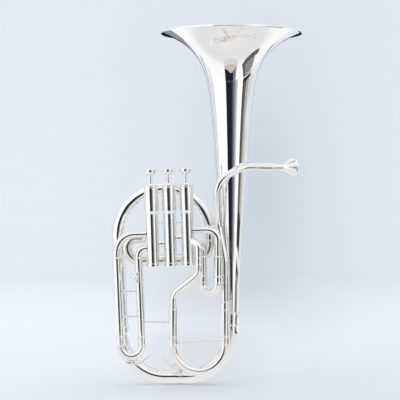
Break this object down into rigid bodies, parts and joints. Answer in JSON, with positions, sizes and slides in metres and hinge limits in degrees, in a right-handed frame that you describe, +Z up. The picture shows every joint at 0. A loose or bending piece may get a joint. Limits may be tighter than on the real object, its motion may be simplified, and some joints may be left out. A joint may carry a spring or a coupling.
{
  "type": "alto horn",
  "caption": "Silver-plated alto horn, bell up, with piston valves, pull-out tuning slides, sprung water keys and a removable mouthpiece.",
  "frame": {"origin": "bottom centre of the horn's bounding box, level with the lowest point of the bottom bow", "axes": "+Z up along the bell's axis to its mouth, +X to the mouthpiece's side, -Y to the side of the valves"},
  "size_m": [0.274, 0.2018, 0.506],
  "materials": {
    "silver": "polished silver plate",
    "piston_metal": "ground nickel alloy",
    "spring_steel": "drawn wire"
  },
  "bodies": {
    "horn": {"bell": "silver", "bell_brace": "silver", "bell_ferrule": "silver", "bottom_bow": "silver", "bottom_cap_1": "silver", "bottom_cap_2": "silver", "bottom_cap_3": "silver", "casing_brace_1_2_1": "silver", "casing_brace_1_2_2": "silver", "casing_brace_2_3_1": "silver", "casing_brace_2_3_2": "silver", "first_tube_front": "silver", "first_tube_rear": "silver", "knuckle_1_2": "silver", "knuckle_2_3": "silver", "leadpipe": "silver", "leadpipe_brace": "silver", "left_branch": "silver", "lower_brace": "silver", "lyre_socket": "silver", "main_sleeve_left": "silver", "main_sleeve_right": "silver", "mouthpiece_receiver": "silver", "rear_branch": "silver", "s_bend": "silver", "second_tube_lower": "silver", "second_tube_upper": "silver", "third_slide_brace_1": "silver", "third_slide_brace_2": "silver", "third_tube_inner": "silver", "third_tube_outer": "silver", "top_branch": "silver", "top_cap_1": "silver", "top_cap_2": "silver", "top_cap_3": "silver", "valve_casing_1": "silver", "valve_casing_2": "silver", "valve_casing_3": "silver", "valve_spring_1": "spring_steel", "valve_spring_2": "spring_steel", "valve_spring_3": "spring_steel"},
    "valve_1": {"piston_1": "piston_metal", "finger_button_1": "silver"},
    "valve_2": {"piston_2": "piston_metal", "finger_button_2": "silver"},
    "valve_3": {"piston_3": "piston_metal", "finger_button_3": "silver"},
    "main_tuning_slide": {"main_slide": "silver", "main_slide_brace": "silver", "main_key_saddle": "silver"},
    "main_water_key": {"main_key_lever": "silver"},
    "third_valve_slide": {"third_slide": "silver", "third_key_saddle": "silver"},
    "third_water_key": {"third_key_lever": "silver"},
    "first_valve_slide": {"first_slide": "silver"},
    "second_valve_slide": {"second_slide": "silver"},
    "mouthpiece": {"mouthpiece": "silver"},
    "lyre_screw": {"lyre_screw": "silver"}
  },
  "joints": [
    {"name": "valve_1_press", "type": "slide", "parent": "horn", "child": "valve_1", "axis": [0.0314, 0, -0.9995], "range_m": [0, 0.012], "stiffness_N_per_m": 160, "springref_m": -0.02, "deforming": ["valve_spring_1"]},
    {"name": "valve_2_press", "type": "slide", "parent": "horn", "child": "valve_2", "axis": [0.0314, 0, -0.9995], "range_m": [0, 0.012], "stiffness_N_per_m": 160, "springref_m": -0.02, "deforming": ["valve_spring_2"]},
    {"name": "valve_3_press", "type": "slide", "parent": "horn", "child": "valve_3", "axis": [0.0314, 0, -0.9995], "range_m": [0, 0.012], "stiffness_N_per_m": 160, "springref_m": -0.02, "deforming": ["valve_spring_3"]},
    {"name": "main_slide_pull", "type": "slide", "parent": "horn", "child": "main_tuning_slide", "axis": [0, 0, -1], "range_m": [0, 0.03]},
    {"name": "first_slide_pull", "type": "slide", "parent": "horn", "child": "first_valve_slide", "axis": [0, 0, -1], "range_m": [0, 0.022]},
    {"name": "second_slide_pull", "type": "slide", "parent": "horn", "child": "second_valve_slide", "axis": [0, 1, 0], "range_m": [0, 0.015]},
    {"name": "third_slide_pull", "type": "slide", "parent": "horn", "child": "third_valve_slide", "axis": [0.0419, 0, -0.9991], "range_m": [0, 0.055]},
    {"name": "main_water_key_press", "type": "hinge", "parent": "main_tuning_slide", "child": "main_water_key", "pos_m": [-0.0487, -0.02807, 0.02755], "axis": [-0.1345, 0.9909, 0], "range_deg": [0, 14], "stiffness_Nm_per_rad": 0.08, "springref_deg": -34.38},
    {"name": "third_water_key_press", "type": "hinge", "parent": "third_valve_slide", "child": "third_water_key", "pos_m": [-0.09858, -0.026, 0.03293], "axis": [0, -1, 0], "range_deg": [0, 14], "stiffness_Nm_per_rad": 0.08, "springref_deg": -34.38},
    {"name": "mouthpiece_pull", "type": "slide", "parent": "horn", "child": "mouthpiece", "axis": [0.809, 0.5878, 0], "range_m": [0, 0.03]},
    {"name": "lyre_screw_turn", "type": "hinge", "parent": "horn", "child": "lyre_screw", "pos_m": [-0.09943, -0.03472, 0.1545], "axis": [-0.309, -0.9511, 0], "continuous": true}
  ]
}
